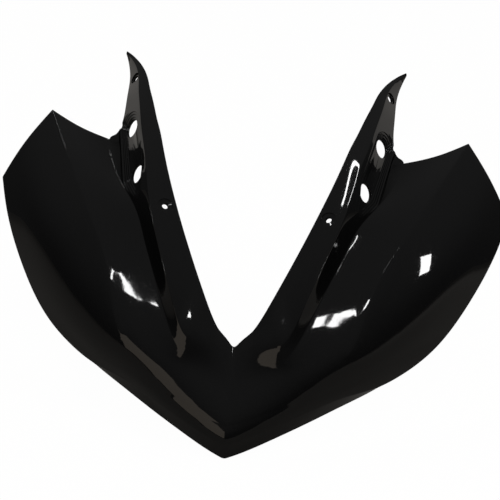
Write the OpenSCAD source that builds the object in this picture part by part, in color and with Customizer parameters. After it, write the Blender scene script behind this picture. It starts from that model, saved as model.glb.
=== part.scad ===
// Front cowl of a motorcycle: one moulded shell that wraps the lamp unit,
// carries the windscreen on its two arms and the mirrors in two stepped pockets.
// Millimetres. X runs to the rider's left and right, front faces -Y, Z is up.
// The shell is drawn in its moulding frame (x sideways, y up the face, h out of the
// face) and then leaned back by the rake angle into the way it sits on the machine.

/* [Shell] */
// width over the two outer corners of the wings
shell_width = 506; // [480:1:530]
// length of the face from the beak to the arm tips
shell_length = 386; // [365:1:410]
// how far the wings fall back, against the drawn depth
depth_scale = 1.0; // [0.85:0.01:1.2]
// wall thickness of the moulding
wall = 2.6; // [2.2:0.1:3.2]
// lean of the face back from upright, degrees
rake = 30; // [20:1:45]

/* [Return lip] */
// depth of the lip turned back under the front edge
lip_depth = 16; // [12:0.5:20]

/* [Step line beside the arm] */
// height of the step where the arm face drops to the wing
step_height = 34; // [28:0.5:38]

/* [Mirror pocket] */
// distance between the two mirror holes
mirror_spacing = 57; // [53:0.5:58]
// diameter of the mirror holes
mirror_hole = 18; // [14:0.1:18.4]
// angle of the pocket floor out from the face, degrees
pocket_angle = 46; // [43:0.5:49]
// drop of each step in the pocket
step_drop = 0.8; // [0.6:0.05:0.95]
// radius of the outermost step round the upper hole
pocket_radius = 15; // [14.6:0.1:15.6]

/* [Screen and tip fixings] */
// diameter of the windscreen screw holes
screen_hole = 5.6; // [4:0.1:7]
// diameter of the round recess at each screen hole
screen_recess = 14; // [11:0.5:15]
// diameter of the screw holes near the arm tips
tip_hole = 7; // [5:0.1:7.5]
// diameter of the round recess at each tip hole
tip_recess = 12; // [10.5:0.5:12.5]
// depth of both round recesses
recess_depth = 1.2; // [0.6:0.1:1.6]
// thickness left under the recess at the arm tip
tip_floor = 1.8; // [1.6:0.1:2.6]

/* [Rear bosses] */
// outside diameter of the screw bosses behind the shell
boss_size = 10; // [9:0.5:12]
// how far the screw bosses stand off the inner face
boss_height = 11; // [8:0.5:14]
// diameter of the blind screw holes in the bosses
boss_bore = 4; // [3:0.1:5]

/* [Hidden] */
eps = 0.01;
fine = 48;

// Sizes at which the guide lines below are drawn
drawn_width = 506;
drawn_length = 386;
drawn_lip = 16;
drawn_step = 34;

// Guide lines of the right half, each a row of points [x, y, h].
// Every row shares the stations below; the first nine lie on the body and the
// last six carry on up the arm.
stations = [0, 0.03, 0.19, 0.36, 0.52, 0.68, 0.84, 0.88, 1, 1.06, 1.16, 1.3, 1.42, 1.48, 1.54];
brow = [[0, 14, 2], [7, 16, 1.5], [50, 36, -7], [97, 60, -22],
        [142, 77, -42], [188, 115, -60], [226, 177, -77], [234, 193, -83], [253, 243, -105]];
// way the lip turns from the brow: down under the beak, straight back at the wings
lip_way = [[0, -14, -8], [0, -13.5, -8], [0, -12, -10], [0, -10, -13],
           [-2, -2, -15], [-4, -2, -15], [-6, -4, -15], [-6, -4, -15], [-4, -3, -15]];
cheek = [[0, 24, 4], [7, 26, 3.5], [49, 47, -1], [91, 73, -8],
         [128, 97, -16], [161, 144, -26], [195, 202, -49], [204, 219, -59], [232, 278, -96]];
wing_line = [[0, 38, 3], [7, 40, 3], [44, 58, 1], [80, 80, -1],
             [106, 108, -4], [123, 168, -12], [156, 227, -37], [167, 246, -49],
             [207, 314, -97]];
panel = [[0, 56, 0], [7, 58, 0], [36, 72, 0], [65, 90, -1],
         [88, 126, -5], [107, 175, -16], [134, 225, -38], [144, 241, -49], [178, 299, -94]];
step_foot = [[0, 74, -3], [7, 76, -3], [28, 85, -2], [51, 97, 0], [70, 138, -7],
             [88, 180, -19], [110.5, 227.5, -39], [122, 240, -51], [144.5, 287, -84],
             [137, 292.5, -81], [133, 306, -84], [133.5, 333, -97], [135.5, 356.5, -114],
             [138.5, 368, -122], [143.5, 381, -130]];
ridge = [[0, 88, -5], [7, 90, -4], [26, 97, 0], [46, 108, 2], [60, 142, 3],
         [73, 178, 0], [88, 221, -10], [91.5, 234, -15], [101, 274, -35],
         [106, 289, -45], [112, 311, -60], [119.5, 338, -82], [125.5, 360, -102],
         [132.5, 372.5, -114], [144.5, 383, -129]];
inner = [[0, 99, -7], [6, 105, -7], [18, 118.5, -7], [32.5, 148, -7], [47, 180.5, -11],
         [62.5, 217.5, -19], [78.5, 259, -36], [82, 269, -41], [91, 295, -56],
         [96, 307, -63], [102, 323, -74], [109.5, 341, -86], [118.5, 361.5, -103],
         [128.5, 374.5, -115], [144, 386, -129]];

n_body = 9;
n_all = 15;
lip = [for (i = [0:n_body - 1]) brow[i] + lip_way[i] * lip_depth / drawn_lip];
// the foot of the step moves with the step height where the step stands full
foot_gain = [0, 0, 0, 0, 0.3, 0.6, 0.9, 0.95, 1, 0.9, 0.8, 0.6, 0.3, 0.15, 0];
foot = [for (i = [0:n_all - 1])
    step_foot[i] - [0, 0, (step_height - drawn_step) * foot_gain[i]]];
guides = [lip, brow, cheek, wing_line, panel, foot, ridge, inner];
// index of the guides that carry on up the arm
foot_row = 5;

// How crisp each guide is as a crease at a station of the body (1 sharp, 0 smooth)
function ramp(a, b, x) = let (t = min(1, max(0, (x - a) / (b - a)))) t * t * (3 - 2 * t);
function crease(g, u) =
    g == 0 || g == 1 ? 1 :
    g == 3 ? ramp(0.45, 0.75, u) :
    g == 5 ? ramp(0.3, 0.42, u) * (u > 1 ? 1 : 1 - 0.6 * ramp(0.85, 1, u)) :
    g == 6 ? ramp(0.3, 0.42, u) : 0;

// Point on one guide at station value u: a cubic through the row of points
function slope(k, p, i) =
    let (n = len(p))
    i == 0 ? [(p[1][0] - p[0][0]) / (k[1] - k[0]), 0, 0] :
    i == n - 1 ? 1.5 * (p[i] - p[i - 1]) / (k[i] - k[i - 1]) - 0.5 * slope(k, p, i - 1) :
    let (a = k[i] - k[i - 1], b = k[i + 1] - k[i],
         d0 = (p[i] - p[i - 1]) / a, d1 = (p[i + 1] - p[i]) / b)
    (d0 * b + d1 * a) / (a + b);
function blend(p0, m0, p1, m1, h, s) =
    (2 * s * s * s - 3 * s * s + 1) * p0 + (s * s * s - 2 * s * s + s) * h * m0 +
    (-2 * s * s * s + 3 * s * s) * p1 + (s * s * s - s * s) * h * m1;
function span(k, n, u) = max([for (i = [0:n - 2]) if (k[i] <= u + eps / 10) i]);
function on_guide(p, u) =
    let (i = span(stations, len(p), u), h = stations[i + 1] - stations[i])
    blend(p[i], slope(stations, p, i), p[i + 1], slope(stations, p, i + 1),
          h, (u - stations[i]) / h);

// Points across the shell at station value u, from guide g0 to the inner edge.
// Between two guides the section is a cubic; a crisp guide breaks the slope there.
function mean_slope(q, d, l, i) =
    i == 0 ? 1.5 * d[0] - 0.5 * mean_slope(q, d, l, 1) :
    i == len(q) - 1 ? 1.5 * d[i - 1] - 0.5 * mean_slope(q, d, l, i - 1) :
    (d[i - 1] * l[i] + d[i] * l[i - 1]) / (l[i - 1] + l[i]);
function section(u, g0, counts) =
    let (q = [for (g = [g0:7]) on_guide(guides[g], u)],
         n = len(q),
         l = [for (i = [0:n - 2]) norm(q[i + 1] - q[i])],
         d = [for (i = [0:n - 2]) (q[i + 1] - q[i]) / l[i]],
         c = [for (i = [0:n - 1]) i == 0 || i == n - 1 ? 1 : crease(i + g0, u)],
         m = [for (i = [0:n - 1])
             n < 4 ? (i == 0 ? d[0] : i == n - 1 ? d[n - 2] : (d[0] + d[1]) / 2) :
             mean_slope(q, d, l, i)])
    concat(
        [for (i = [0:n - 2])
            let (e1 = (1 - c[i + 1]) * m[i + 1] + c[i + 1] * d[i],
                 e0 = (1 - c[i]) * m[i] + c[i] * d[i],
                 t0 = (1 - c[i]) * m[i] + c[i] * (1.5 * d[i] - 0.5 * e1),
                 t1 = (1 - c[i + 1]) * m[i + 1] + c[i + 1] * (1.5 * d[i] - 0.5 * e0))
            for (s = [0:counts[i + g0] - 1])
                blend(q[i], t0, q[i + 1], t1, l[i], s / counts[i + g0])],
        [q[n - 1]]);

// How finely each span is divided along and across the shell
along = [3, 4, 6, 6, 6, 6, 2, 5, 2, 3, 4, 4, 2, 3];
across = [2, 4, 4, 3, 3, 4, 4];
u_lines = concat(
    [for (i = [0:len(along) - 1]) for (s = [0:along[i] - 1])
        stations[i] + (stations[i + 1] - stations[i]) * s / along[i]],
    [stations[n_all - 1]]);
function total(v, n) = n == 0 ? 0 : v[n - 1] + total(v, n - 1);
nb = total(along, n_body - 1);
nu = total(along, n_all - 1);
nv = total(across, 7);
jv = total(across, foot_row);

sx = shell_width / drawn_width;
sy = shell_length / drawn_length;
function sized(p) = [p[0] * sx, p[1] * sy, p[2] * depth_scale];
outer_grid = [for (i = [0:nu])
    let (row = section(u_lines[i], i <= nb ? 0 : foot_row, across))
    i <= nb ? [for (p = row) sized(p)]
            : concat([for (j = [1:jv]) [0, 0, 0]], [for (p = row) sized(p)])];
function col0(i) = i <= nb ? 0 : jv;

// Wall: every point steps in by the wall along the mitred normal of its cells
function unit(v) = v / max(norm(v), eps / 100);
function along_dir(i, j) =
    i == 0 ? [1, 0, 0] :
    let (a = outer_grid[i - 1][j],
         b = i == nu || (i == nb && j < jv) ? outer_grid[i][j] : outer_grid[i + 1][j])
    b - a;
function inward(i, j) =
    let (p = outer_grid[i][j], du = along_dir(i, j),
         lo = j > col0(i) ? p - outer_grid[i][j - 1] : outer_grid[i][j + 1] - p,
         hi = j < nv ? outer_grid[i][j + 1] - p : p - outer_grid[i][j - 1],
         a = unit(cross(du, lo)), b = unit(cross(du, hi)))
    -(a + b) / max(1 + a * b, 0.5);

// Frame of the mirror pocket: floor plane through the two hole centres.
// Its second axis runs from the lower to the upper hole, its third out of the floor.
upper_hole = sized([121, 297.2, -72]);
lower_aim = sized([107.3, 249.8, -42.8]);
pocket_y = unit(upper_hole - lower_aim);
out_guess = [sin(pocket_angle), 0, cos(pocket_angle)];
pocket_z = unit(out_guess - (out_guess * pocket_y) * pocket_y);
pocket_x = cross(pocket_y, pocket_z);
function in_pocket(p) =
    let (q = p - upper_hole) [q * pocket_x, q * pocket_y, q * pocket_z];

// The pocket steps are hulls of three circles, each a little inside the last
pocket_levels = 4;
function pocket_circles(k) = [
    [-1.5 + 0.5 * k, 4 - 0.9 * k, pocket_radius - 1.7 * k],
    [1 - 0.2 * k, -55, 16 - 2 * k],
    [0.5, -84 + 4.2 * k, 5.5 - 0.5 * k]];
function reach(c, a) = c[0] * cos(a) + c[1] * sin(a) + c[2];
function pocket_outline(k, n) =
    let (cs = pocket_circles(k))
    [for (a = [0:360 / n:360 - 360 / n])
        let (r = [for (c = cs) reach(c, a)], m = max(r),
             c = cs[[for (i = [0:2]) if (r[i] == m) i][0]])
        [c[0] + c[2] * cos(a), c[1] + c[2] * sin(a)]];
// depth inside the outermost outline, for the swelling of the wall behind
function inside_pocket(q) =
    min([for (a = [0:30:330])
        max([for (c = pocket_circles(0)) reach(c, a)]) - q[0] * cos(a) - q[1] * sin(a)]);
function behind_pocket(p) =
    let (q = in_pocket(p), w = ramp(-5, 2, inside_pocket(q)))
    abs(q[2]) > 20 ? [0, 0, 0] : -pocket_z * w * max(0, q[2]);

// the wall thins with the faces beside the ridge where the arm runs out to its tip
tip_share = 0.3;
ridge_col = total(across, foot_row + 1);
function wall_at(i) =
    i <= nb ? wall :
    let (r = outer_grid[i][ridge_col])
    min(wall, tip_share * min(norm(outer_grid[i][nv] - r), norm(r - outer_grid[i][jv])));

inner_grid = [for (i = [0:nu]) [for (j = [0:nv])
    j < col0(i) ? [0, 0, 0] :
    let (p = outer_grid[i][j], w = inward(i, j) * wall_at(i),
         q = p + (i == 0 ? [0, w[1], w[2]] : w))
    q + behind_pocket(p)]];

// Numbering of the points: right outer, left outer, right inner, left inner
width_b = nv + 1;
width_a = nv - jv + 1;
n_half = (nb + 1) * width_b + (nu - nb) * width_a;
n_face = 2 * n_half - width_b;
function seat(i, j) =
    i <= nb ? i * width_b + j : (nb + 1) * width_b + (i - nb - 1) * width_a + j - jv;
function number(i, j, left, back) =
    seat(i, j) + (left && i > 0 ? n_half - width_b : 0) + (back ? n_face : 0);
function flat(g, left) = [for (i = [left ? 1 : 0:nu]) for (j = [col0(i):nv])
    left ? [-g[i][j][0], g[i][j][1], g[i][j][2]] : g[i][j]];
function lean(p) = [p[0], p[1] * sin(rake) - p[2] * cos(rake),
                    p[1] * cos(rake) + p[2] * sin(rake)];
raw_points = concat(flat(outer_grid, false), flat(outer_grid, true),
                    flat(inner_grid, false), flat(inner_grid, true));

// Faces of the two skins, each cell split along its shorter diagonal
function turned(f, flip) = flip ? [for (t = f) [t[2], t[1], t[0]]] : f;
function cell(i, j, left, back) =
    let (a = number(i, j, left, back), b = number(i + 1, j, left, back),
         c = number(i + 1, j + 1, left, back), d = number(i, j + 1, left, back),
         g = back ? inner_grid : outer_grid,
         ac = norm(g[i][j] - g[i + 1][j + 1]), bd = norm(g[i + 1][j] - g[i][j + 1]))
    turned(ac < bd ? [[a, d, c], [a, c, b]] : [[a, d, b], [d, c, b]], left != back);
cells = [for (i = [0:nu - 1]) for (j = [i < nb ? 0 : jv:nv - 1]) [i, j]];
// the rim runs along the lip, up the wing end, up the arm, and back down inside
rim = concat(
    [for (i = [0:nb - 1]) [[i, 0], [i + 1, 0]]],
    [for (j = [0:jv - 1]) [[nb, j], [nb, j + 1]]],
    [for (i = [nb:nu - 1]) [[i, jv], [i + 1, jv]]],
    [for (j = [jv:nv - 1]) [[nu, j], [nu, j + 1]]],
    [for (i = [0:nu - 1]) [[nu - i, nv], [nu - i - 1, nv]]]);
function rim_cell(e, left) =
    let (p = number(e[0][0], e[0][1], left, false), q = number(e[1][0], e[1][1], left, false),
         r = number(e[1][0], e[1][1], left, true), s = number(e[0][0], e[0][1], left, true))
    turned([[p, q, r], [p, r, s]], left);
faces = concat(
    [for (left = [false, true]) for (back = [false, true])
        for (c = cells) for (t = cell(c[0], c[1], left, back)) t],
    [for (left = [false, true]) for (e = rim) for (t = rim_cell(e, left)) t]);

// The shell stands with its lowest point on the ground plane and centred front to back
leaned = [for (p = raw_points) lean(p)];
ys = [for (p = leaned) p[1]];
zs = [for (p = leaned) p[2]];
shift = [0, -(min(ys) + max(ys)) / 2, -min(zs)];

module on_bike() {
    translate(shift)
        multmatrix([[1, 0, 0, 0],
                    [0, sin(rake), -cos(rake), 0],
                    [0, cos(rake), sin(rake), 0],
                    [0, 0, 0, 1]])
            children();
}

module at_frame(o, x, y, z) {
    multmatrix([[x[0], y[0], z[0], o[0]],
                [x[1], y[1], z[1], o[1]],
                [x[2], y[2], z[2], o[2]],
                [0, 0, 0, 1]])
        children();
}

module both_sides() {
    children();
    mirror([1, 0, 0]) children();
}

// Frame on the plain face between two crisp guides, at station u and share s across
function on_face(g, u, s) =
    on_guide(guides[g], u) * (1 - s) + on_guide(guides[g + 1], u) * s;
function face_z(g, u, s) =
    unit(cross(sized(on_face(g, u + 0.02, s)) - sized(on_face(g, u - 0.02, s)),
               sized(on_face(g, u, s + 0.1)) - sized(on_face(g, u, s - 0.1))));
module at_face(g, u, s) {
    z = face_z(g, u, s);
    x = unit(cross([0, 1, 0], z));
    at_frame(sized(on_face(g, u, s)), x, cross(z, x), z) children();
}

screen_at = [0.754, 0.6];
tip_at = [1.39, 0.57];
pad_margin = 1.5;

module screw_pad(recess, floor) {
    translate([0, 0, -floor - recess_depth])
        cylinder(h = floor, d = recess + 2 * pad_margin, $fn = fine);
}
// length of each cut beyond the faces it goes through
clear_of = 12;
module screw_cut(hole, recess) {
    translate([0, 0, -recess_depth]) cylinder(h = clear_of, d = recess, $fn = fine);
    translate([0, 0, -clear_of]) cylinder(h = 2 * clear_of, d = hole, $fn = fine);
}

// Bosses behind the shell for the lamp unit, square to the wall: guide and station
boss_at = [[4, 0.2], [2, 0.6]];
function wall_z(g, u) =
    unit(cross(sized(on_guide(guides[g], u + 0.02)) - sized(on_guide(guides[g], u - 0.02)),
               sized(on_guide(guides[g + 1], u)) - sized(on_guide(guides[g - 1], u))));
module at_wall(g, u) {
    z = wall_z(g, u);
    x = unit(cross([0, 1, 0], z));
    at_frame(sized(on_guide(guides[g], u)), x, cross(z, x), z) children();
}
module boss() {
    translate([0, 0, -wall - boss_height])
        cylinder(h = boss_height + wall / 2, d = boss_size, $fn = fine);
}
module boss_cut() {
    translate([0, 0, -wall - boss_height - 1])
        cylinder(h = boss_height, d = boss_bore, $fn = fine);
}

module pocket_cut() {
    at_frame(upper_hole, pocket_x, pocket_y, pocket_z) {
        for (k = [0:pocket_levels - 1])
            translate([0, 0, (pocket_levels - 1 - k) * step_drop])
                linear_extrude(2 * clear_of) polygon(pocket_outline(k, 60));
        for (s = [0, -mirror_spacing])
            translate([0, s, -clear_of])
                cylinder(h = 2 * clear_of, d = mirror_hole, $fn = fine);
    }
}

module fairing() {
    color([0.02, 0.02, 0.02])
        difference() {
            on_bike() union() {
                polyhedron(raw_points, faces, convexity = 10);
                both_sides() {
                    at_face(6, screen_at[0], screen_at[1]) screw_pad(screen_recess, wall);
                    at_face(5, tip_at[0], tip_at[1]) screw_pad(tip_recess, tip_floor);
                    for (p = boss_at) at_wall(p[0], p[1]) boss();
                }
            }
            on_bike() both_sides() {
                pocket_cut();
                at_face(6, screen_at[0], screen_at[1]) screw_cut(screen_hole, screen_recess);
                at_face(5, tip_at[0], tip_at[1]) screw_cut(tip_hole, tip_recess);
                for (p = boss_at) at_wall(p[0], p[1]) boss_cut();
            }
        }
}

fairing();
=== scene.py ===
import math

import bpy
import numpy as np
from mathutils import Matrix, Quaternion, Vector


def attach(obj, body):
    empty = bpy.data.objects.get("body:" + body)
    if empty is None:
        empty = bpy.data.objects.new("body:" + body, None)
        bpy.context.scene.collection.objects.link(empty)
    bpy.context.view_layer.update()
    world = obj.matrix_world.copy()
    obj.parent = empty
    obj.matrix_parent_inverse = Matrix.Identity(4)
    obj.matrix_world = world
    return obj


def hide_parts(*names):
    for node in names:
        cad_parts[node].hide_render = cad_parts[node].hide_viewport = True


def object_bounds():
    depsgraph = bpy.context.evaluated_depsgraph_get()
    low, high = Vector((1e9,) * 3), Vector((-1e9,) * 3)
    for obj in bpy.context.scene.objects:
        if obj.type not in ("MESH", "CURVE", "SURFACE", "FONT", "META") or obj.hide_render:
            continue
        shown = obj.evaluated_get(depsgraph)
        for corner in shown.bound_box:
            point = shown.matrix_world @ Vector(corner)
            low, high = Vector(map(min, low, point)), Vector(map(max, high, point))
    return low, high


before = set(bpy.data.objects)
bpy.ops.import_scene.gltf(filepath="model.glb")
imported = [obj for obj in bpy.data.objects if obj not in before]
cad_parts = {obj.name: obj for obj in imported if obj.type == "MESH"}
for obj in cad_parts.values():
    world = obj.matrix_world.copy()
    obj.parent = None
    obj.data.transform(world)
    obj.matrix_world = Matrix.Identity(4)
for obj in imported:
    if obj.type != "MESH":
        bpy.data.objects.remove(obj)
cad_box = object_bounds()


# The shell is one thin moulding of ABS, sprayed in black and lacquered. It wraps the lamps
# of a motorcycle: two wings meet in a beak, and an arm rises from each to hold the screen.
# It is drawn in its moulding frame, in millimetres (across, up the face, out of the face),
# and leaned back by the rake. The guide lines are those of the solid part.
MM = 0.001
RAKE = math.radians(30)
WALL = 2.6
EDGE = 0.7
TIP_SHARE = 0.3
STATIONS = np.array([0, 0.03, 0.19, 0.36, 0.52, 0.68, 0.84, 0.88, 1,
                     1.06, 1.16, 1.3, 1.42, 1.48, 1.54])
BROW = [(0, 14, 2), (7, 16, 1.5), (50, 36, -7), (97, 60, -22),
        (142, 77, -42), (188, 115, -60), (226, 177, -77), (234, 193, -83), (253, 243, -105)]
LIP_WAY = [(0, -14, -8), (0, -13.5, -8), (0, -12, -10), (0, -10, -13),
           (-2, -2, -15), (-4, -2, -15), (-6, -4, -15), (-6, -4, -15), (-4, -3, -15)]
CHEEK = [(0, 24, 4), (7, 26, 3.5), (49, 47, -1), (91, 73, -8),
         (128, 97, -16), (161, 144, -26), (195, 202, -49), (204, 219, -59), (232, 278, -96)]
WING_LINE = [(0, 38, 3), (7, 40, 3), (44, 58, 1), (80, 80, -1),
             (106, 108, -4), (123, 168, -12), (156, 227, -37), (167, 246, -49),
             (207, 314, -97)]
PANEL = [(0, 56, 0), (7, 58, 0), (36, 72, 0), (65, 90, -1),
         (88, 126, -5), (107, 175, -16), (134, 225, -38), (144, 241, -49), (178, 299, -94)]
STEP_FOOT = [(0, 74, -3), (7, 76, -3), (28, 85, -2), (51, 97, 0), (70, 138, -7),
             (88, 180, -19), (110.5, 227.5, -39), (122, 240, -51), (144.5, 287, -84),
             (137, 292.5, -81), (133, 306, -84), (133.5, 333, -97), (135.5, 356.5, -114),
             (138.5, 368, -122), (143.5, 381, -130)]
RIDGE = [(0, 88, -5), (7, 90, -4), (26, 97, 0), (46, 108, 2), (60, 142, 3),
         (73, 178, 0), (88, 221, -10), (91.5, 234, -15), (101, 274, -35),
         (106, 289, -45), (112, 311, -60), (119.5, 338, -82), (125.5, 360, -102),
         (132.5, 372.5, -114), (144.5, 383, -129)]
INNER = [(0, 99, -7), (6, 105, -7), (18, 118.5, -7), (32.5, 148, -7), (47, 180.5, -11),
         (62.5, 217.5, -19), (78.5, 259, -36), (82, 269, -41), (91, 295, -56),
         (96, 307, -63), (102, 323, -74), (109.5, 341, -86), (118.5, 361.5, -103),
         (128.5, 374.5, -115), (144, 386, -129)]
LIP = [tuple(np.add(b, w)) for b, w in zip(BROW, LIP_WAY)]
GUIDES = [LIP, BROW, CHEEK, WING_LINE, PANEL, STEP_FOOT, RIDGE, INNER]
CREASED = [GUIDES.index(g) for g in (BROW, WING_LINE, STEP_FOOT, RIDGE)]
FOOT = GUIDES.index(STEP_FOOT)
FINE = 48


def ramp(low, high, x):
    t = np.clip((x - low) / (high - low), 0, 1)
    return t * t * (3 - 2 * t)


def cubic(p0, m0, p1, m1, h, s):
    return ((2 * s**3 - 3 * s**2 + 1) * p0 + (s**3 - 2 * s**2 + s) * h * m0
            + (-2 * s**3 + 3 * s**2) * p1 + (s**3 - s**2) * h * m1)


def through(points, u):
    """A smooth line through a guide's points, which leaves the middle plane square to it."""
    p = np.array(points, float)
    k = STATIONS[:len(p)]
    gap = np.diff(k)
    d = np.diff(p, axis=0) / gap[:, None]
    m = np.empty_like(p)
    m[1:-1] = ((d[:-1] * gap[1:, None] + d[1:] * gap[:-1, None])
               / (gap[:-1] + gap[1:])[:, None])
    m[0] = d[0] * (1, 0, 0)
    m[-1] = 1.5 * d[-1] - 0.5 * m[-2]
    i = np.clip(np.searchsorted(k, u, side="right") - 1, 0, len(p) - 2)
    s, h = ((u - k[i]) / gap[i])[:, None], gap[i][:, None]
    return cubic(p[i], m[i], p[i + 1], m[i + 1], h, s)


def eased(path, along, at, width):
    """The mean of a path over a width round each place, which rounds its kinks."""
    steps = np.diff(along)[:, None]
    area = np.vstack([np.zeros(3), np.cumsum((path[1:] + path[:-1]) / 2 * steps, axis=0)])

    def up_to(x):
        i = np.clip(np.searchsorted(along, x, side="right") - 1, 0, len(along) - 2)
        dx = (x - along[i])[:, None]
        return area[i] + path[i] * dx + (path[i + 1] - path[i]) / steps[i] * dx**2 / 2

    least = 1e-4
    width = np.minimum(width, 2 * np.minimum(at - along[0], along[-1] - at))
    width = np.maximum(width, least)
    low = np.clip(at - width / 2, along[0], along[-1] - least)
    return (up_to(low + width) - up_to(low)) / width[:, None]


def guide_line(points, u):
    """One place on a guide that is evened out, but crisp where the arm leaves the wing."""
    top = STATIONS[len(points) - 1]
    steps = np.arange(0, top + 0.0005, 0.001)
    line = through(points, np.minimum(steps, top))
    both = np.vstack([line[:0:-1] * (-1, 1, 1), line])
    at = np.array([u])
    width = 0.015 + 0.075 * ramp(0.01, 0.12, np.abs(at - 1)) * ramp(0, 0.1, at)
    return eased(both, np.concatenate([-steps[:0:-1], steps]), at, width)[0]


def creases(u):
    """How sharply the shell folds at each guide, from 0 for a soft bend to 1 for a crease."""
    return [1, 1, 0, ramp(0.45, 0.75, u), 0,
            ramp(0.3, 0.42, u) * (1 - 0.6 * ramp(0.85, 1, u)), ramp(0.3, 0.42, u), 1]


def spans(q, crisp):
    """The section through the points q: a cubic from each to the next, broken at a crease."""
    n = len(q)
    length = np.linalg.norm(np.diff(q, axis=0), axis=1)
    d = np.diff(q, axis=0) / length[:, None]
    if n < 4:
        m = np.array([d[0], (d[0] + d[1]) / 2, d[1]])
    else:
        m = np.empty_like(q)
        for i in range(1, n - 1):
            m[i] = (d[i - 1] * length[i] + d[i] * length[i - 1]) / (length[i - 1] + length[i])
        m[0] = 1.5 * d[0] - 0.5 * m[1]
        m[-1] = 1.5 * d[-1] - 0.5 * m[-2]
    s = (np.arange(FINE) / FINE)[:, None]
    parts = []
    for i in range(n - 1):
        e0 = (1 - crisp[i]) * m[i] + crisp[i] * d[i]
        e1 = (1 - crisp[i + 1]) * m[i + 1] + crisp[i + 1] * d[i]
        t0 = (1 - crisp[i]) * m[i] + crisp[i] * (1.5 * d[i] - 0.5 * e1)
        t1 = (1 - crisp[i + 1]) * m[i + 1] + crisp[i + 1] * (1.5 * d[i] - 0.5 * e0)
        parts.append(cubic(q[i], t0, q[i + 1], t1, length[i], s))
    return np.vstack([*parts, q[-1:]])


# Columns of points across each span, even but for a few close beside each guide, and how
# wide the shell is rounded there: by little at a crease, and by a lot at a soft bend
CELLS = [4, 14, 14, 12, 12, 18, 14]
NEAR = (0.35, 0.8, 1.5, 4.0)
ROUND = [1.6, 1.8, 0, 1.6, 0, 1.6, 1.8, 1.6]
FADED = 14
SOFT = 24


def shares(length, cells):
    near = np.array(NEAR) * min(1, 0.32 * length / NEAR[-1])
    return np.concatenate([[0], near, np.linspace(near[-1], length - near[-1], cells + 1)[1:-1],
                           length - near[::-1]])


def columns(at_guides, cells, moved):
    """Distances along a section of its columns, with its own true ends as first and last."""
    marks = np.array(at_guides, float)
    if moved:
        marks[FOOT] += moved
    marks[0] += min(EDGE, 0.2 * (marks[1] - marks[0]))
    marks[-1] -= min(EDGE, 0.2 * (marks[-1] - marks[-2]))
    at = [a + shares(b - a, c) for a, b, c in zip(marks[:-1], marks[1:], cells)]
    return np.concatenate([[at_guides[0]], *at, [marks[-1]], [at_guides[-1]]])


def section(u, swell=0, shift=True):
    """One line of points across the shell, rounded at its creases, and its sharp path."""
    body = u <= 1
    first = 0 if body else FOOT
    crisp = creases(u)[first:] if body else [1, 1, 1]
    path = spans(np.array([guide_line(g, u) for g in GUIDES[first:]]), crisp)
    path = path + swell * (1 - ramp(1, 1.12, u))
    along = np.concatenate([[0], np.cumsum(np.linalg.norm(np.diff(path, axis=0), axis=1))])
    marks = along[::FINE]
    # the step's foot moves in where the arm's own edge begins
    moved = EDGE * ramp(0.975, 0.997, u) if body and shift else 0
    at = columns(marks, CELLS[first:], moved)
    width = np.full(len(at), float(SOFT))
    for g, mark in enumerate(marks):
        if crisp[g] >= 0.02:
            crease_width = ROUND[first + g] + (1 - crisp[g]) * FADED
            width = np.minimum(width, crease_width + 1.4 * np.abs(at - mark))
    return eased(path, along, at, width), path


def stations(*stretches):
    """Places along the guides, from the start, end and number of places of each stretch."""
    return np.unique(np.concatenate([np.linspace(*stretch) for stretch in stretches]))


# Rows of points from the beak to the wing's end, and on up the arm, which leaves the wing
# with the wing's own swell and loses it on the way
body_rows = stations((0, 0.03, 7), (0.03, 0.06, 6), (0.06, 0.96, 82), (0.96, 0.9974, 10))
arm_rows = stations((1.004, 1.12, 26), (1.12, 1.50, 46), (1.50, 1.5375, 12))
wing_end, wing_path = section(1.0, shift=False)
straight = spans(np.array([guide_line(g, 1.0) for g in GUIDES[FOOT:]]), [1, 1, 1])
swell = wing_path[FINE * FOOT:] - straight
swell[FINE:] = 0
rows = [section(u)[0] for u in body_rows] + [section(u, swell)[0] for u in arm_rows]
tip_end = section(STATIONS[-1], swell)[0]
n_body, n_rows = len(body_rows), len(rows)
n_cols = len(rows[0]) - 2
first_arm = n_cols - (len(rows[-1]) - 2)


def start(i):
    return 0 if i < n_body else first_arm


outer = np.zeros((n_rows, n_cols, 3))
for i, line in enumerate(rows):
    outer[i, start(i):] = line[1:-1]

# Normals of the outer face, then the inner face one wall behind it, mitred at the creases.
# The pointed arm tip is too narrow for the full wall, which is limited there by the width
# of the faces on both sides of the ridge.
run = np.zeros_like(outer)
run[1:-1] = outer[2:] - outer[:-2]
run[0] = (1, 0, 0)
run[-1] = outer[-1] - outer[-2]
run[n_body - 1, :first_arm] = outer[n_body - 1, :first_arm] - outer[n_body - 2, :first_arm]
cross_run = np.zeros_like(outer)
for i in range(n_rows):
    cross_run[i, start(i):] = np.gradient(outer[i, start(i):], axis=0)
normal = np.cross(run, cross_run)
normal /= np.maximum(np.linalg.norm(normal, axis=2), 1e-9)[..., None]

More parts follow.
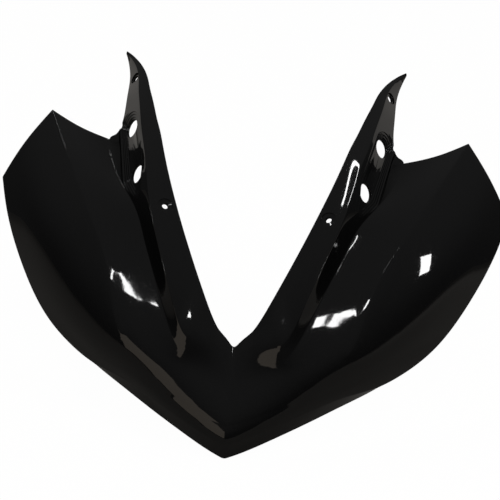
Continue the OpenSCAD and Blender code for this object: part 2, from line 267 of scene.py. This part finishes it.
guide_cols = np.cumsum([0] + [c + 2 * len(NEAR) for c in CELLS])
ridge_points = outer[:, guide_cols[GUIDES.index(RIDGE)]]
face_width = np.minimum(np.linalg.norm(outer[:, -1] - ridge_points, axis=1),
                        np.linalg.norm(ridge_points - outer[:, first_arm], axis=1))
thick = np.where(np.arange(n_rows) < n_body, WALL, np.minimum(WALL, TIP_SHARE * face_width))
inner = outer - thick[:, None, None] * normal
zone = len(NEAR)
for g in CREASED:
    c = guide_cols[g]
    for i in range(n_rows):
        if c - zone < start(i):
            continue
        a, b = normal[i, c - zone], normal[i, c + zone]
        corner = outer[i, c] - (a + b) / max(1 + a @ b, 0.5) * thick[i]
        for way in (-1, 1):
            far = inner[i, c + way * zone]
            reach = np.linalg.norm(outer[i, c + way * zone] - outer[i, c])
            for k in range(zone):
                t = np.linalg.norm(outer[i, c + way * k] - outer[i, c]) / reach
                inner[i, c + way * k] = corner * (1 - t) + far * t
inner[0, :, 0] = 0


# Each arm carries a mirror on a flat floor sunk in its outer face: two holes for the stem's
# bolts, and round them shallow steps, each a little inside the last, moulded with the shell.
MIRROR_SPACING = 57
MIRROR_HOLE = 18
STEPS = 3
STEP_DROP = 0.8
STEP_FLARE, STEP_TUCK = 0.32, -0.22
POCKET_RADIUS = 15
POCKET_ANGLE = math.radians(46)
UPPER_HOLE = np.array([121, 297.2, -72])
LOWER_AIM = np.array([107.3, 249.8, -42.8])


def unit(v):
    return np.asarray(v, float) / np.linalg.norm(v)


pocket_y = unit(UPPER_HOLE - LOWER_AIM)
out_guess = np.array([math.sin(POCKET_ANGLE), 0, math.cos(POCKET_ANGLE)])
pocket_z = unit(out_guess - (out_guess @ pocket_y) * pocket_y)
pocket_x = np.cross(pocket_y, pocket_z)


def reaches(k, angles):
    """The three circles that step k wraps, as (x, y, radius), and their reach each way."""
    circles = np.array([(-1.5 + 0.5 * k, 4 - 0.9 * k, POCKET_RADIUS - 1.7 * k),
                        (1 - 0.2 * k, -55, 16 - 2 * k), (0.5, -84 + 4.2 * k, 5.5 - 0.5 * k)])
    return circles, (circles[:, 0, None] * np.cos(angles) + circles[:, 1, None] * np.sin(angles)
                     + circles[:, 2, None])


turns = np.radians(np.arange(0, 360, 2))


def pocket_outline(k, wider):
    """The line round step k, as the hull of its three circles, moved out by a distance."""
    circles, reach = reaches(k, turns)
    pick = circles[np.argmax(reach, axis=0)]
    return np.stack([pick[:, 0] + (pick[:, 2] + wider) * np.cos(turns),
                     pick[:, 1] + (pick[:, 2] + wider) * np.sin(turns)], 1)


# The wall swells behind the pocket, so that its floor is no thinner than the rest. The
# swelling fades out from just inside the pocket's outline to a little outside it.
SWELL_OUT, SWELL_IN, SWELL_REACH = -5, 2, 20
over = (outer - UPPER_HOLE) @ np.stack([pocket_x, pocket_y, pocket_z], 1)
coarse = np.radians(np.arange(0, 360, 30))
inside = (reaches(0, coarse)[1].max(axis=0) - over[..., 0, None] * np.cos(coarse)
          - over[..., 1, None] * np.sin(coarse)).min(axis=2)
behind = (ramp(SWELL_OUT, SWELL_IN, inside) * np.maximum(0, over[..., 2])
          * (np.abs(over[..., 2]) < SWELL_REACH))
inner -= behind[..., None] * pocket_z


# Both faces and the rounded rim between them, the right half first and then its mirror
# image. The rim goes round the lip, the wing's end, the arm, its tip and the inner edge,
# and at a corner the later of two edges counts.
def to_bike(points, side=1):
    """From the moulding frame to the way the shell sits on the machine, in millimetres."""
    p = np.atleast_2d(points) * (side, 1, 1)
    return np.stack([p[:, 0], p[:, 1] * math.sin(RAKE) - p[:, 2] * math.cos(RAKE),
                     p[:, 1] * math.cos(RAKE) + p[:, 2] * math.sin(RAKE)], 1)


verts, quads, seats = [], [], {}


def seat(key, point, side):
    name = (*key, side)
    if name not in seats:
        seats[name] = len(verts)
        verts.append(to_bike(point, side)[0])
    return seats[name]


def number(skin, i, j, side):
    return seat((skin, i, j), (outer if skin == "out" else inner)[i, j], 1 if i == 0 else side)


def face(corners, flip):
    quads.append(corners[::-1] if flip else corners)


rim = {(i, 0): rows[i][0] for i in range(n_body)}
rim |= {(n_body - 1, j): wing_end[j + 1] for j in range(1, first_arm)}
rim[n_body - 1, 0] = wing_end[0]
rim[n_body - 1, first_arm] = wing_path[FINE * FOOT]
rim |= {(i, first_arm): rows[i][0] for i in range(n_body, n_rows)}
rim |= {(n_rows - 1, j): tip_end[j - first_arm + 1] for j in range(first_arm, n_cols)}
rim[n_rows - 1, first_arm] = tip_end[0]
rim |= {(i, n_cols - 1): rows[i][-1] for i in range(n_rows - 1, -1, -1)}
ROUND_STEPS = 4
ROUND_SHARE = 0.3

for side in (1, -1):
    for skin in ("out", "in"):
        flip = (skin == "in") != (side == -1)
        for i in range(n_rows - 1):
            for j in range(start(i + 1), n_cols - 1):
                face((number(skin, i, j, side), number(skin, i + 1, j, side),
                      number(skin, i + 1, j + 1, side), number(skin, i, j + 1, side)), flip)
    rings = []
    for n, ((i, j), edge) in enumerate(rim.items()):
        through_wall = inner[i, j] - outer[i, j]
        depth = np.linalg.norm(through_wall)
        down = through_wall / depth
        radius = min(EDGE, ROUND_SHARE * depth)
        ring = [number("out", i, j, side)]
        for back in (False, True):
            order = range(ROUND_STEPS, 0, -1) if back else range(1, ROUND_STEPS + 1)
            for t in order:
                a = math.pi / 2 * (1 - t / ROUND_STEPS)
                base = edge + down * depth if back else edge
                sink = (1 - math.sin(a)) * radius * (-1 if back else 1)
                point = base + (1 - math.cos(a)) * (outer[i, j] - edge) + sink * down
                ring.append(seat(("rim", n, back, t), point, 1 if i == 0 else side))
        ring.append(number("in", i, j, side))
        rings.append(ring)
    for a, b in zip(rings[:-1], rings[1:]):
        for k in range(len(a) - 1):
            face((a[k], a[k + 1], b[k + 1], b[k]), side == -1)

points = np.array(verts)
cad_middle = (cad_box[0][1] + cad_box[1][1]) / 2 / MM
drop = np.array([0, cad_middle - (points[:, 1].min() + points[:, 1].max()) / 2,
                 cad_box[0][2] / MM - points[:, 2].min()])
mesh = bpy.data.meshes.new("cowl")
mesh.from_pydata(((points + drop) * MM).tolist(), [], quads)
mesh.validate()
cowl = bpy.data.objects.new("cowl", mesh)
bpy.context.scene.collection.objects.link(cowl)


def stacked(rings, side, solid):
    """A closed solid of rings of points, one on the next, each turning the same way."""
    solid_verts, solid_faces = solid
    base, n = len(solid_verts), len(rings[0])
    for ring in rings:
        solid_verts += list((to_bike(ring, side) + drop) * MM)
    made = [(base + k * n + s, base + k * n + (s + 1) % n,
             base + (k + 1) * n + (s + 1) % n, base + (k + 1) * n + s)
            for k in range(len(rings) - 1) for s in range(n)]
    made.append(tuple(base + s for s in range(n))[::-1])
    made.append(tuple(base + (len(rings) - 1) * n + s for s in range(n)))
    solid_faces += made if side == 1 else [f[::-1] for f in made]


def work(solid, name, how):
    """Adds a solid to the shell or cuts it away, once and for all, and clears it away."""
    other_mesh = bpy.data.meshes.new(name)
    other_mesh.from_pydata([tuple(v) for v in solid[0]], [], solid[1])
    other_mesh.validate()
    other = bpy.data.objects.new(name, other_mesh)
    bpy.context.scene.collection.objects.link(other)
    change = cowl.modifiers.new(name, "BOOLEAN")
    change.operation = how
    change.solver = "MANIFOLD"
    change.object = other
    graph = bpy.context.evaluated_depsgraph_get()
    result = bpy.data.meshes.new_from_object(cowl.evaluated_get(graph))
    cowl.modifiers.clear()
    before = cowl.data
    cowl.data = result
    bpy.data.meshes.remove(before)
    bpy.data.objects.remove(other)
    bpy.data.meshes.remove(other_mesh)


# Heights of the pocket's wall with how far it stands out there: the mouth's rounded edge,
# then an S down to each step's flat, and the lowest flat
mouth = STEPS * STEP_DROP
levels = [(0, 2.6, 30.0), (0, 0.9, mouth + 2.2), (0, 0.5, mouth + 1.0), (0, 0.2, mouth + 0.35),
          (0, -0.15, mouth + 0.08), (0, -0.6, mouth)]
for k in range(1, STEPS + 1):
    levels += [(k, STEP_FLARE + (STEP_TUCK - STEP_FLARE) * t,
                (STEPS + 1 - k - ramp(0, 1, t)) * STEP_DROP) for t in np.linspace(0, 1, 7)]
levels.append((STEPS, -0.5, 0.0))
pockets = [], []
for side in (1, -1):
    rings = []
    for k, wider, height in levels[::-1]:
        line = pocket_outline(k, wider)
        rings.append(UPPER_HOLE + line[:, :1] * pocket_x + line[:, 1:] * pocket_y
                     + height * pocket_z)
    stacked(rings, side, pockets)


# Screws hold the windscreen to the inner edge of each arm and the arm's tip to the bracket.
# Each has a round seat sunk in the face and a thicker pad moulded behind it. Two bosses
# behind each wing take the self-tapping screws of the lamp unit. Places are a guide, a
# station along it and, for a screw, a share of the way to the next guide.
SCREEN_AT, TIP_AT = (6, 0.754, 0.6), (5, 1.39, 0.57)
BOSS_AT = [(4, 0.2), (2, 0.6)]
SEAT_DEPTH = 1.2
SCREEN_HOLE, SCREEN_SEAT = 5.6, 14
TIP_HOLE, TIP_SEAT, TIP_FLOOR = 7, 12, 1.8
BOSS_HEIGHT = 11


def lathe(profile, around, place, side, solid):
    """A turned solid of (radius, height) points, closed at both ends, in a frame of its own."""
    origin, x, y, z = place
    a = np.linspace(0, 2 * math.pi, around, endpoint=False)[:, None]
    stacked([origin + r * np.cos(a) * x + r * np.sin(a) * y + h * z for r, h in profile],
            side, solid)


def guide_point(g, u):
    return through(GUIDES[g], np.array([u]))[0]


def frame_on(origin, along, across):
    z = unit(np.cross(along, across))
    x = unit(np.cross((0, 1, 0), z))
    return origin, x, np.cross(z, x), z


def face_frame(g, u, share):
    """A frame on the face between a guide and the next, with z out of the face."""
    def at(u, share):
        return guide_point(g, u) * (1 - share) + guide_point(g + 1, u) * share
    return frame_on(at(u, share), at(u + 0.02, share) - at(u - 0.02, share),
                    at(u, share + 0.1) - at(u, share - 0.1))


def guide_frame(g, u):
    """A frame on a guide, with z out of the face."""
    return frame_on(guide_point(g, u), guide_point(g, u + 0.02) - guide_point(g, u - 0.02),
                    guide_point(g + 1, u) - guide_point(g - 1, u))


pads, bores = ([], []), ([], [])
screws = [(face_frame(*SCREEN_AT), SCREEN_HOLE / 2, SCREEN_SEAT / 2, WALL),
          (face_frame(*TIP_AT), TIP_HOLE / 2, TIP_SEAT / 2, TIP_FLOOR)]
for side in (1, -1):
    for place, hole, sunk, floor_depth in screws:
        back = -floor_depth - SEAT_DEPTH
        lathe([(sunk + 1.1, back), (sunk + 1.5, back + 0.4), (sunk + 1.5, -SEAT_DEPTH - 0.2)],
              64, place, side, pads)
        lathe([(hole, -15), (hole, -SEAT_DEPTH - 0.35), (hole + 0.12, -SEAT_DEPTH - 0.1),
               (hole + 0.4, -SEAT_DEPTH), (sunk - 0.5, -SEAT_DEPTH),
               (sunk - 0.15, -SEAT_DEPTH + 0.12), (sunk, -SEAT_DEPTH + 0.5), (sunk + 0.1, 10)],
              64, place, side, bores)
    for boss_at in BOSS_AT:
        place, end = guide_frame(*boss_at), -WALL - BOSS_HEIGHT
        lathe([(4.5, end), (4.8, end + 0.12), (4.9, end + 0.5), (5.0, -WALL - 1.2),
               (5.3, -WALL - 0.5), (6.0, -WALL), (6.0, -WALL / 2)], 64, place, side, pads)
        lathe([(2.6, end - 1), (2.6, end), (2.0, end + 0.6), (2.0, -WALL - 1.5),
               (0.4, -WALL - 1)], 48, place, side, bores)
    for down in (0, MIRROR_SPACING):
        r = MIRROR_HOLE / 2
        lathe([(r, -12), (r, -0.6), (r + 0.08, -0.28), (r + 0.25, -0.08), (r + 0.55, 0),
               (r + 0.55, 0.3)],
              96, (UPPER_HOLE - down * pocket_y, pocket_x, pocket_y, pocket_z), side, bores)
work(pads, "pads", "UNION")
work(pockets, "pockets", "DIFFERENCE")
work(bores, "bores", "DIFFERENCE")
cowl.data.shade_smooth()
cowl.data.set_sharp_from_angle(angle=math.radians(32))


# Finish: black base under clear lacquer, on the front and the back alike. The lacquer has
# the faint ripple of a sprayed coat and a trace of dust.
BLACK = (0.002, 0.002, 0.0022, 1)
DUST = (0.06, 0.058, 0.055, 1)


class Value:
    """A shader socket that takes part in plain arithmetic."""

    def __init__(self, nodes, socket):
        self.nodes, self.socket = nodes, socket

    def joined(self, how, a, b):
        return self.nodes.add("ShaderNodeMath", {"operation": how}, {0: a, 1: b})

    def __add__(self, other):
        return self.joined("ADD", self, other)

    def __radd__(self, other):
        return self.joined("ADD", other, self)

    def __mul__(self, other):
        return self.joined("MULTIPLY", self, other)

    def __rmul__(self, other):
        return self.joined("MULTIPLY", other, self)


class Finish:
    """The nodes that make a material, or the room's light."""

    def __init__(self, owner):
        owner.use_nodes = True
        self.tree = owner.node_tree
        self.tree.nodes.clear()

    def add(self, kind, settings, sockets, out=0):
        node = self.tree.nodes.new(kind)
        for name, value in settings.items():
            setattr(node, name, value)
        for name, value in sockets.items():
            if isinstance(value, Value):
                self.tree.links.new(value.socket, node.inputs[name])
            else:
                node.inputs[name].default_value = value
        return Value(self, node.outputs[out]) if len(node.outputs) else None


gloss = bpy.data.materials.new("gloss_shell")
lacquer = Finish(gloss)
where = lacquer.add("ShaderNodeTexCoord", {}, {}, "Object")
cloud = lacquer.add("ShaderNodeTexNoise", {}, {"Vector": where, "Scale": 9.0, "Detail": 4.0,
                                               "Roughness": 0.55})
ripple = lacquer.add("ShaderNodeTexNoise", {}, {"Vector": where, "Scale": 420.0, "Detail": 1.0})
speck = lacquer.add("ShaderNodeTexNoise", {}, {"Vector": where, "Scale": 2600.0, "Detail": 0.0})
dust = cloud * lacquer.add("ShaderNodeMapRange", {"interpolation_type": "SMOOTHSTEP"},
                           {"Value": speck, "From Min": 0.74, "From Max": 0.8})
bump = lacquer.add("ShaderNodeBump", {}, {"Height": ripple, "Strength": 0.02,
                                          "Distance": 0.0002})
tone = lacquer.add("ShaderNodeMix", {"data_type": "RGBA"},
                   {"Factor": dust * 0.5, "A": BLACK, "B": DUST}, 2)
coat = lacquer.add("ShaderNodeBsdfPrincipled", {}, {
    "Base Color": tone, "Roughness": 0.02 + 0.04 * cloud + 0.25 * dust,
    "IOR": 1.5, "Normal": bump})
lacquer.add("ShaderNodeOutputMaterial", {}, {"Surface": coat})
cowl.data.materials.clear()
cowl.data.materials.append(gloss)
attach(cowl, "root")
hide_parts("fairing")


# The studio: a pale floor and a dim room that grows lighter overhead. Both look white to
# the camera, and the floor keeps a part of its shade there for the shadow.
PALE = (0.5, 0.48, 0.45, 1)
WHITE = (1, 1, 1, 1)
FLOOR_REACH = 6
FLOOR_GAP = 0.002
FLOOR_GLOW, FLOOR_SHADE = 1.09, 0.1
ROOM_LOW, ROOM_HIGH = 0.05, 0.17
floor_mesh = bpy.data.meshes.new("floor")
floor_mesh.from_pydata([(x * FLOOR_REACH, y * FLOOR_REACH, 0) for x, y in
                        ((-1, -1), (1, -1), (1, 1), (-1, 1))], [], [(0, 1, 2, 3)])
floor = bpy.data.objects.new("floor", floor_mesh)
bpy.context.scene.collection.objects.link(floor)
floor.location.z = -FLOOR_GAP
pale_floor = bpy.data.materials.new("pale_floor")
pale = Finish(pale_floor)
to_camera = pale.add("ShaderNodeLightPath", {}, {}, "Is Camera Ray")
ground = pale.add("ShaderNodeBsdfDiffuse", {}, {"Color": PALE})
bright = pale.add("ShaderNodeEmission", {}, {"Color": WHITE, "Strength": FLOOR_GLOW})
seen = pale.add("ShaderNodeMixShader", {}, {0: to_camera * (1 - FLOOR_SHADE), 1: ground, 2: bright})
pale.add("ShaderNodeOutputMaterial", {}, {"Surface": seen})
floor_mesh.materials.append(pale_floor)

world = bpy.data.worlds.new("room")
bpy.context.scene.world = world
room = Finish(world)
to_camera = room.add("ShaderNodeLightPath", {}, {}, "Is Camera Ray")
direction = room.add("ShaderNodeTexCoord", {}, {}, "Generated")
upward = room.add("ShaderNodeSeparateXYZ", {}, {"Vector": direction}, "Z")
level = room.add("ShaderNodeMapRange", {"interpolation_type": "SMOOTHSTEP"},
                 {"Value": upward, "From Min": 0.0, "From Max": 0.9, "To Min": ROOM_LOW,
                  "To Max": ROOM_HIGH})
dim = room.add("ShaderNodeBackground", {}, {"Color": WHITE, "Strength": level})
white = room.add("ShaderNodeBackground", {}, {"Color": WHITE, "Strength": 1.0})
both = room.add("ShaderNodeMixShader", {}, {0: to_camera, 1: dim, 2: white})
room.add("ShaderNodeOutputWorld", {}, {"Surface": both})


# The lamps: bright strips in front, above and to the sides draw the long highlights on the
# lacquer, and three dim cards, in front and behind, show the brow and the arms' outer faces.
SHELL_MIDDLE = Vector((0, 0, 0.14))


def panel(name, place, size, tilt, glow, colour=(1, 1, 1)):
    """A flat panel that faces the shell: metres, degrees, and how bright its face is."""
    data = bpy.data.lights.new(name, "AREA")
    data.shape = "RECTANGLE"
    data.size, data.size_y = size
    data.color = colour
    data.energy = glow * math.pi * size[0] * size[1]
    made = bpy.data.objects.new(name, data)
    bpy.context.scene.collection.objects.link(made)
    made.location = place
    made.rotation_mode = "QUATERNION"
    made.rotation_quaternion = ((Vector(place) - SHELL_MIDDLE).to_track_quat("Z", "Y")
                                @ Quaternion((0, 0, 1), math.radians(tilt)))


panel("front_left", (-0.34, -1.44, 1.95), (0.04, 0.38), -27, 28)
panel("front_right", (0.22, -1.59, 1.84), (0.05, 0.2), 8, 28)
panel("side_right", (1.95, -0.65, 1.28), (0.24, 0.40), -28, 24)
panel("high_left", (-1.16, 0.73, 1.97), (0.055, 0.65), -83, 26)
panel("ceiling_strip", (0.37, -0.70, 2.33), (0.03, 0.60), -50, 24)
panel("warm_card", (-0.85, -2.1, 0.5), (1.3, 0.85), 0, 0.6, (1, 0.87, 0.72))
panel("back_right", (1.84, 1.37, 0.58), (0.7, 1.0), 0, 0.42, (1, 0.95, 0.89))
panel("back_left", (-1.8, 1.42, 0.38), (0.9, 0.66), 0, 0.42, (1, 0.95, 0.89))


# The camera looks nearly square on to the leaned face, turned a little in all three ways.
# Its reach and aim are in millimetres in the moulding frame.
yaw, pitch, roll = -0.0459, -0.0485, -0.0896
reach, aim = 886.6, np.array([6.97, 185.94, 0])
cy, sy, cp, sp, cr, sr = (math.cos(yaw), math.sin(yaw), math.cos(pitch), math.sin(pitch),
                          math.cos(roll), math.sin(roll))
turn = (np.array([[cr, -sr, 0], [sr, cr, 0], [0, 0, 1]])
        @ np.array([[1, 0, 0], [0, cp, -sp], [0, sp, cp]])
        @ np.array([[cy, 0, sy], [0, 1, 0], [-sy, 0, cy]]))
axes = to_bike(turn).T
stand = (to_bike(aim + reach * turn[2])[0] + drop) * MM
camera_data = bpy.data.cameras.new("camera")
camera_data.sensor_width = 36
camera_data.lens = 72
camera = bpy.data.objects.new("camera", camera_data)
bpy.context.scene.collection.objects.link(camera)
camera.matrix_world = Matrix([[*axes[k], stand[k]] for k in range(3)] + [[0, 0, 0, 1]])
bpy.context.scene.camera = camera
bpy.context.scene.view_settings.view_transform = "Standard"
